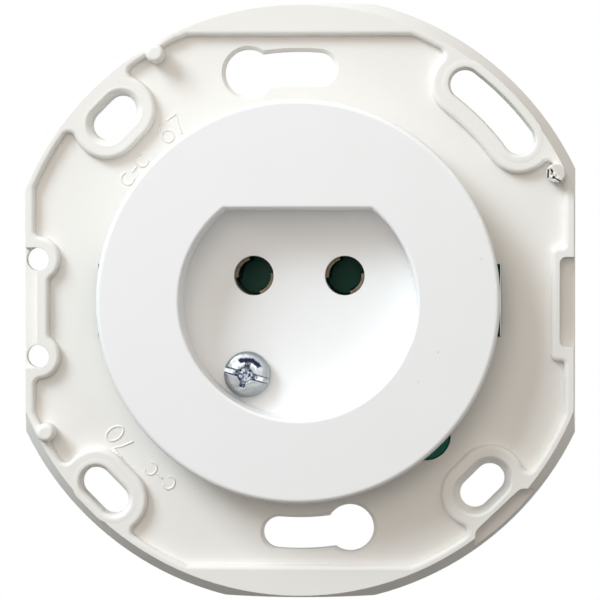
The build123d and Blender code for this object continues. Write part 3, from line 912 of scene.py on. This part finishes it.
@dataclass
class TrayMarks:
    """The raised screw-distance marks beside the slots and the lower keyhole. Sizes in mm."""

    stroke_r: float = 0.15
    axis_depth: float = 2.16
    marks: tuple[RoundMark, ...] = (
        RoundMark(26.3, {144.7: "c", 141.55: "-", 138.4: "c", 128.7: "6", 124.9: "7"}),
        RoundMark(28.1, {234.4: "c", 231.45: "-", 228.5: "c", 220.0: "7", 215.8: "0"}),
        RoundMark(24.2, {284.0: "c", 280.6: "-", 277.2: "c", 266.4: "6", 262.2: "0"}),
    )

    def tree(self) -> ShapeTree:
        """Build the tree that gives lines a round body."""
        tree = ShapeTree("raised_strokes")
        radius = tree.input("Radius", "NodeSocketFloat")
        path = tree.add("GeometryNodeMeshToCurve")
        section = tree.add("GeometryNodeCurvePrimitiveCircle", Resolution=10)
        body = tree.add("GeometryNodeCurveToMesh")
        body.inputs["Fill Caps"].default_value = True
        tree.link(tree.seed, path.inputs["Mesh"])
        tree.link(radius, section.inputs["Radius"])
        tree.link(path.outputs["Curve"], body.inputs["Curve"])
        tree.link(section.outputs["Curve"], body.inputs["Profile Curve"])
        tree.close(body.outputs["Mesh"])
        return tree

    def build(self, finish: bpy.types.Material) -> bpy.types.Object:
        """Raise the marks on the tray floor.

        Args:
            finish: The plate's finish.

        Returns:
            The piece.
        """
        points, edges = [], []
        for mark in self.marks:
            for line in mark.strokes(-self.axis_depth * MM):
                first = len(points)
                points += line
                edges += [(first + step, first + step + 1) for step in range(len(line) - 1)]
        lines = bpy.data.meshes.new("mark_lines")
        lines.from_pydata(points, edges, [])
        values = {"Radius": self.stroke_r * MM, "Finish": finish}
        piece = self.tree().grow("tray_marks", lines, values)
        for face in piece.data.polygons:
            face.use_smooth = True
        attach(piece, BODY)
        return piece


def ray(angle: float) -> Vector:
    """The way to an angle round the plate's middle, in degrees."""
    return Vector((math.cos(math.radians(angle)), 0, math.sin(math.radians(angle))))


@dataclass
class SlotLip:
    """The lip inside a slot's mouth: a bevel and a steep wall below it. Sizes in mm and degrees.

    The points of its section are a growth of the slot and a depth under the rim.
    """

    name: str
    slot_r: float
    angle: float
    half_arc: float = 0.0
    half_run: float = 0.0
    mouth: float = 0.3
    foot: Point = (0.19, 0.2)
    half_w: float = 1.9
    rim_depth: float = 3.5
    brim: tuple[Point, ...] = ((1.3, 0.04), (1.12, -0.003))
    rounding: tuple[Point, ...] = ((0.12, -0.004), (0.0, 0.02), (-0.08, 0.09))
    back: tuple[Point, ...] = ((0.03, 2.45), (0.4, 2.5), (1.3, 0.7))
    smooth_faces: int = 5
    steps: int = 40

    def section(self) -> list[Point]:
        """The lip's section, from its brim over the mouth's edge to its hidden back."""
        rounded = [(self.mouth + growth, depth) for growth, depth in self.rounding]
        return [*self.brim, *rounded, self.foot, *self.back]

    def spine(self) -> list[tuple[Vector, float]]:
        """Places along the slot's middle line, each with the angle that points outwards there."""
        line = []
        for step in range(self.steps + 1):
            share = 2 * step / self.steps - 1
            angle = self.angle + share * self.half_arc
            along = ray(self.angle + 90) * share * self.half_run
            line.append((ray(angle) * self.slot_r + along, angle))
        return line

    def path(self) -> list[tuple[Vector, Vector]]:
        """Places round the slot's middle line, each with the way out of the slot."""
        places = []
        for line, turned in ((self.spine(), 0), (self.spine()[::-1], 180)):
            places += [(place, ray(angle + turned)) for place, angle in line]
            end, angle = line[-1]
            for step in range(1, self.steps):
                places.append((end, ray(angle + turned + 180 * step / self.steps)))
        return places

    def build(self, finish: bpy.types.Material) -> bpy.types.Object:
        """Run the section round the slot.

        Args:
            finish: The plate's finish.

        Returns:
            The piece.
        """
        shape = bmesh.new()
        section = self.section()
        loops = []
        for middle, out in self.path():
            loop = []
            for growth, depth in section:
                front = Vector((0, self.rim_depth - depth, 0))
                place = middle + out * (self.half_w + growth) - front
                loop.append(shape.verts.new(place * MM))
            loops.append(loop)
        for count, face in enumerate(skin(shape, [*loops, loops[0]])):
            face.smooth = count % len(section) < self.smooth_faces
        bmesh.ops.recalc_face_normals(shape, faces=shape.faces)
        mesh = finished_mesh(shape, self.name)
        mesh.materials.append(finish)
        piece = place_piece(self.name, mesh)
        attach(piece, BODY)
        return piece


LIPS = (
    SlotLip("long_slot_lip", slot_r=35.0, angle=44.375, half_arc=8.125),
    SlotLip(
        "upper_slot_lip", slot_r=33.5, angle=135.3, half_run=1.35, mouth=0.78, foot=(0.05, 0.46)
    ),
    SlotLip(
        "lower_slot_lip", slot_r=35.0, angle=224.4, half_run=1.55, mouth=0.5, foot=(0.07, 0.34)
    ),
)


@dataclass
class TornStub:
    """The ragged top of the stub that was torn off: a ridge with pits and a crack beside it, with
    painted shade in the pits and crack.

    Sizes in mm. Each pit runs from a point to a point and has a half width.
    """

    x: float = 32.83
    z: float = 16.3
    radius: float = 1.23
    rim_depth: float = 3.5
    ridge: float = 1.9
    ridge_half_w: float = 0.2
    ridge_point: Point = (-0.3, 0.28)
    across_ridge: Point = (0.823, 0.568)
    outer_fall: float = 0.8
    inner_fall: float = 0.95
    cut_slope: Point = (0.238, 0.616)
    cut_middle: float = 0.55
    cut_top: float = 1.1
    clearance: float = 0.03
    skirt: float = -0.5
    edge_round: float = 0.2
    crumple: float = 0.16
    crumples_per_mm: float = 3.1
    crumple_seed: float = 0.7
    pit_depth: float = 0.6
    pit_steepness: float = 1.6
    pits: tuple[tuple[Point, Point, float], ...] = (
        ((-0.57, 0.42), (-0.46, 0.16), 0.13),
        ((-0.46, 0.16), (-0.52, -0.1), 0.07),
        ((-0.98, 0.42), (-0.98, -0.5), 0.11),
        ((-0.3, -0.5), (-0.24, -0.58), 0.16),
        ((-0.24, -0.58), (0.62, -1.08), 0.07),
    )
    segments: int = 96
    rings: int = 40

    def hollow(self, x: float, y: float) -> float:
        """How far a place lies in a pit or crack.

        Args:
            x: The place to the right of the stub's axis.
            y: The place above it.

        Returns:
            From 0 outside to 1 inside.
        """
        deepest = 0.0
        for start, end, reach in self.pits:
            run_x, run_y = end[0] - start[0], end[1] - start[1]
            right, up = x - start[0], y - start[1]
            share = clamp((right * run_x + up * run_y) / (run_x**2 + run_y**2))
            gap = math.hypot(right - share * run_x, up - share * run_y)
            deepest = max(deepest, clamp(self.pit_steepness * (1 - gap / reach)))
        return deepest

    def height(self, x: float, y: float) -> float:
        """How far a place stands in front of the rim.

        Args:
            x: The place to the right of the stub's axis.
            y: The place above it.

        Returns:
            The height, above the solid's slanting cut.
        """
        right, up = x - self.ridge_point[0], y - self.ridge_point[1]
        aside = right * self.across_ridge[0] + up * self.across_ridge[1]
        fall = self.outer_fall if aside > 0 else self.inner_fall
        level = self.ridge - fall * max(0.0, abs(aside) - self.ridge_half_w)
        if aside < 0:
            spot = Vector((x, y, self.crumple_seed)) * self.crumples_per_mm
            level += self.crumple * noise.noise(spot)
        cut = self.cut_middle + self.cut_slope[0] * x + self.cut_slope[1] * y
        floor = min(self.cut_top, cut) + self.clearance
        return max(floor, level - self.pit_depth * self.hollow(x, y))

    def build(self, finish: bpy.types.Material) -> bpy.types.Object:
        """Build the torn top on its stub.

        Args:
            finish: The plate's finish.

        Returns:
            The piece.
        """
        shape = bmesh.new()
        turns = ring_turns(self.segments)
        loops, stains_and_painted_light = [], []

        def spot(x: float, y: float, level: float) -> bmesh.types.BMVert:
            """Add a point of the stub's top."""
            # Painted shade in the pits and cracks.
            stains_and_painted_light.append(-self.hollow(x, y) if level > self.skirt else 0.0)
            depth = self.rim_depth + level
            return shape.verts.new(((self.x + x) * MM, -depth * MM, (self.z + y) * MM))

        for ring in range(1, self.rings + 1):
            radius = self.radius * ring / self.rings
            past = clamp((radius - self.radius + self.edge_round) / self.edge_round)
            fall = self.edge_round * past**2
            places = [(radius * math.cos(turn), radius * math.sin(turn)) for turn in turns]
            loops.append([spot(x, y, self.height(x, y) - fall) for x, y in places])
        loops.append([spot(x, y, self.skirt) for x, y in places])
        middle = spot(0, 0, self.height(0, 0))
        skin(shape, loops)
        fan(shape, middle, loops[0])
        shape.faces.new(reversed(loops[-1]))
        bmesh.ops.recalc_face_normals(shape, faces=shape.faces)
        mesh = finished_mesh(shape, "torn_stub_top")
        mesh.attributes.new("stain_and_painted_light", "FLOAT", "POINT").data.foreach_set("value", stains_and_painted_light)
        mesh.materials.append(finish)
        piece = place_piece("torn_stub_top", mesh)
        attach(piece, BODY)
        return piece


@dataclass(frozen=True)
class Lamp:
    """A soft square lamp that looks at the plate."""

    name: str
    place: Place
    size: float
    watts: float
    colour: Colour

    def build(self) -> None:
        """Add the lamp to the scene."""
        data = bpy.data.lights.new(self.name, "AREA")
        data.size = self.size
        data.energy = self.watts
        data.color = linear(self.colour)[:3]
        lamp = bpy.data.objects.new(self.name, data)
        lamp.location = self.place
        lamp.rotation_euler = (-Vector(self.place)).to_track_quat("-Z", "Y").to_euler()
        bpy.context.scene.collection.objects.link(lamp)


@dataclass
class Studio:
    """The camera, lamps, surroundings and floor."""

    azimuth_deg: float = 1.9
    elevation_deg: float = 1.1
    distance: float = 0.46
    frame_width: float = 77.3 * MM
    aim: Place = (0.06 * MM, -1.5 * MM, 0.05 * MM)
    sensor_mm: float = 36.0
    clip_start: float = 0.01
    lamps: tuple[Lamp, ...] = (
        Lamp(
            "key_lamp",
            place=(-0.398, -0.325, 0.398),
            size=0.26,
            watts=3.6,
            colour=(0.91, 0.962, 1.0),
        ),
        Lamp(
            "fill_lamp",
            place=(-0.094, -0.611, 0.201),
            size=0.4,
            watts=1.03,
            colour=(1.0, 0.958, 0.926),
        ),
    )
    ambient_colour: Colour = (1.0, 0.979, 0.942)
    ambient_strength: float = 0.382
    ambient_rise: Place = (0.085, 0.0, 0.205)
    dim_gloss: float = 0.8
    dim_range: Point = (0.8, 0.99)
    floor_drop: float = 220 * MM
    floor_radius: float = 450 * MM
    floor_segments: int = 96
    floor_roughness: float = 0.9
    floor_colour: Colour = (0.96, 0.96, 0.96)
    floor_bounce: Colour = (0.34, 0.33, 0.32)

    def camera(self) -> None:
        """Set the camera at the photograph's angle."""
        data = bpy.data.cameras.new("camera")
        data.sensor_width = self.sensor_mm
        data.lens = self.sensor_mm * self.distance / self.frame_width
        data.clip_start = self.clip_start
        camera = bpy.data.objects.new("camera", data)
        turn, lift = math.radians(self.azimuth_deg), math.radians(self.elevation_deg)
        level = Vector((math.sin(turn), -math.cos(turn), 0)) * math.cos(lift)
        back = level + Vector((0, 0, math.sin(lift)))
        camera.location = Vector(self.aim) + back * self.distance
        camera.rotation_euler = (-back).to_track_quat("-Z", "Y").to_euler()
        bpy.context.scene.collection.objects.link(camera)
        bpy.context.scene.camera = camera

    def surroundings(self) -> None:
        """Light from all round, with a white background for what looks past the object."""
        world = bpy.data.worlds.new("surroundings")
        world.use_nodes = True
        bpy.context.scene.world = world
        sky = NodeSketch(world.node_tree)
        soft = sky.tree.nodes["Background"]
        soft.inputs["Color"].default_value = linear(self.ambient_colour)
        lean = sky.add("ShaderNodeVectorMath", operation="DOT_PRODUCT")
        sky.link(sky.add("ShaderNodeTexCoord").outputs["Generated"], lean.inputs[0])
        lean.inputs[1].default_value = self.ambient_rise
        level = sky.add("ShaderNodeMath", operation="ADD")
        sky.link(lean.outputs["Value"], level.inputs[0])
        level.inputs[1].default_value = self.ambient_strength
        sky.link(level.outputs[0], soft.inputs["Strength"])
        white = sky.add("ShaderNodeBackground", Color=(1, 1, 1, 1))
        path = sky.add("ShaderNodeLightPath")
        straight = sky.either(path.outputs["Is Camera Ray"], path.outputs["Is Transmission Ray"])
        sky.link(sky.either(straight, self.room_glow(sky)), white.inputs["Strength"])
        mix = sky.add("ShaderNodeMixShader")
        sky.link(sky.either(straight, path.outputs["Is Glossy Ray"]), mix.inputs[0])
        sky.link(soft.outputs[0], mix.inputs[1])
        sky.link(white.outputs[0], mix.inputs[2])
        sky.link(mix.outputs[0], sky.tree.nodes["World Output"].inputs["Surface"])

    def room_glow(self, sky: NodeSketch) -> Socket:
        """How bright the white room is to a gloss: dimmer straight in front and behind.

        Args:
            sky: The world's node tree.

        Returns:
            The brightness.
        """
        split = sky.add("ShaderNodeSeparateXYZ")
        sky.link(sky.add("ShaderNodeTexCoord").outputs["Generated"], split.inputs[0])
        depth = sky.add("ShaderNodeMath", operation="ABSOLUTE")
        sky.link(split.outputs["Y"], depth.inputs[0])
        brightness = (1.0, self.dim_gloss)
        return sky.ramp(
            depth.outputs[0], self.dim_range, brightness, interpolation_type="SMOOTHSTEP"
        )

    def floor(self) -> None:
        """Lay a round pale floor under the object."""
        shape = bmesh.new()
        bmesh.ops.create_circle(
            shape, cap_ends=True, segments=self.floor_segments, radius=self.floor_radius
        )
        bmesh.ops.translate(shape, verts=shape.verts, vec=(0, 0, -self.floor_drop))
        floor = place_piece("floor", finished_mesh(shape, "floor"))
        recipe = Recipe("floor")
        path = recipe.add("ShaderNodeLightPath")
        seen = recipe.either(path.outputs["Is Camera Ray"], path.outputs["Is Glossy Ray"])
        pale = recipe.between(seen, self.floor_bounce, self.floor_colour)
        recipe.link(pale, recipe.shader.inputs["Base Color"])
        recipe.shader.inputs["Roughness"].default_value = self.floor_roughness
        floor.data.materials.append(recipe.material)

    def build(self) -> None:
        """Build the studio."""
        bpy.context.scene.view_settings.view_transform = "Standard"
        self.camera()
        for lamp in self.lamps:
            lamp.build()
        self.surroundings()
        self.floor()


SCREWS = (
    ScrewSet(
        "cover_screw_head",
        PanScrew(
            head_d=5.9,
            head_h=1.9,
            shank_d=3.0,
            length=12.0,
            cross_l=3.2,
            turn=-15.0,
            drive_shift=(-0.2, -0.1),
            # Painted highlights and painted shade on the cover screw's head.
            painted_light_patches=(
                PaintedLightPatch(angle=343.0, radius=2.6, span=26.0, width=0.9, stain_and_painted_light=-0.05, soft=0.2),
                PaintedLightPatch(angle=78.0, radius=1.46, span=100.0, width=0.34, stain_and_painted_light=0.9),
                PaintedLightPatch(angle=74.0, radius=1.9, span=98.0, width=0.58, stain_and_painted_light=-1.0),
                PaintedLightPatch(angle=137.0, radius=1.85, span=32.0, width=0.8, stain_and_painted_light=0.95),
                PaintedLightPatch(angle=12.0, radius=1.6, span=34.0, width=0.9, stain_and_painted_light=0.35),
            ),
        ),
        {"cover_screw": Facing.FRONT},
    ),
    ScrewSet(
        "rear_screws",
        PanScrew(
            head_d=5.0,
            head_h=1.5,
            shank_d=2.6,
            length=9.0,
            cross_l=3.0,
            turn=25.0,
            segments=128,
            rings=36,
        ),
        {"upper_rear_screw": Facing.BACK, "lower_rear_screw": Facing.BACK},
    ),
    ScrewSet(
        "terminal_screws",
        PanScrew(head_d=5.2, head_h=1.7, shank_d=3.0, length=2.8, segments=128, rings=30),
        {
            "left_upper_terminal_screw": Facing.LEFT,
            "left_lower_terminal_screw": Facing.LEFT,
            "right_upper_terminal_screw": Facing.RIGHT,
            "right_lower_terminal_screw": Facing.RIGHT,
        },
    ),
)


def report(piece: bpy.types.Object) -> None:
    """Log a finished piece and how many faces it has."""
    LOG.info("%s: %d faces", piece.name, len(piece.data.polygons))


def main() -> None:
    """Build the outlet's looks in order."""
    logging.basicConfig(level=logging.INFO, format="%(name)s: %(message)s")
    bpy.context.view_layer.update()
    finishes = {finish.name: finish.material() for finish in FINISHES}
    for subpart in frame["record"]["subparts"]:
        report(dress(subpart["node"], finishes[subpart["material_slot"]]))
    report(TrayMarks().build(finishes["plate_plastic"]))
    for lip in LIPS:
        report(lip.build(finishes["plate_plastic"]))
    report(TornStub().build(finishes["plate_plastic"]))
    screws = screw_tree()
    for screw_set in SCREWS:
        report(screw_set.build(screws, finishes["zinc_screw"], "zinc_screw"))
    Studio().build()


if __name__ == "__main__":
    main()
